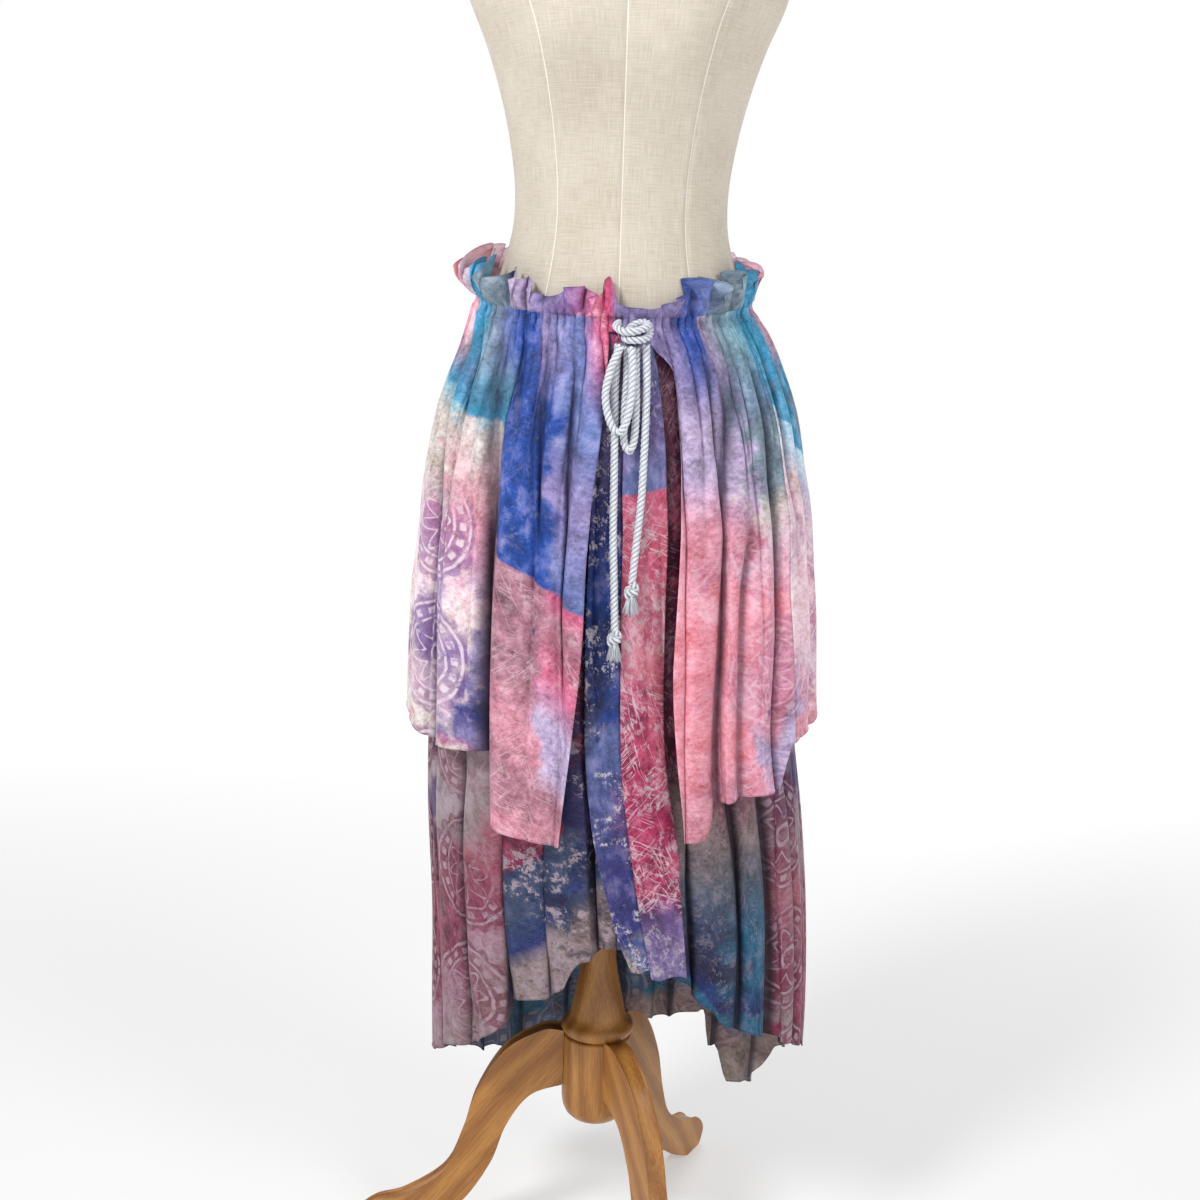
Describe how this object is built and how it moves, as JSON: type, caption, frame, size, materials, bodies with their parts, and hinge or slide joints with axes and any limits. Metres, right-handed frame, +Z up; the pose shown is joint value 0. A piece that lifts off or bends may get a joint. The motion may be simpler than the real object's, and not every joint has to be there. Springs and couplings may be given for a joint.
{
  "type": "tiered ruffle skirt on a dress form",
  "caption": "Gathered skirt with a waist frill, a knee length layer open in front over a longer one, two hanging bands and a rope drawstring, on a linen dress form with a wooden tripod.",
  "frame": {"origin": "middle of the whole thing's plan, on the floor", "axes": "+Z up, -Y towards the skirt's front, +X towards its side on the right of the picture"},
  "size_m": [0.557, 0.5352, 1.76],
  "materials": {
    "skirt_cloth": "thin printed silk-like cloth with a soft sheen",
    "linen": "natural linen weave, matte",
    "wood": "varnished hardwood, satin",
    "rope": "twisted satin rope"
  },
  "bodies": {
    "root": {"dress_form": "linen", "stand_column": "wood", "stand_block": "wood", "leg_left": "wood", "leg_front": "wood", "leg_back": "wood", "under_back_left": "skirt_cloth", "under_side_left": "skirt_cloth", "under_front_left": "skirt_cloth", "under_front_right": "skirt_cloth", "under_side_right": "skirt_cloth", "under_back_right": "skirt_cloth", "band_blue": "skirt_cloth", "band_pink": "skirt_cloth", "over_back_left": "skirt_cloth", "over_side_left": "skirt_cloth", "over_front_left": "skirt_cloth", "over_front_right": "skirt_cloth", "over_side_right": "skirt_cloth", "over_back_right": "skirt_cloth", "casing_left": "skirt_cloth", "casing_right": "skirt_cloth", "frill_left": "skirt_cloth", "frill_right": "skirt_cloth", "rope_knot": "rope", "rope_loop_front": "rope", "rope_loop_back": "rope", "rope_tail_left": "rope", "rope_tail_right": "rope", "tassel_left": "rope", "tassel_right": "rope"}
  },
  "joints": []
}
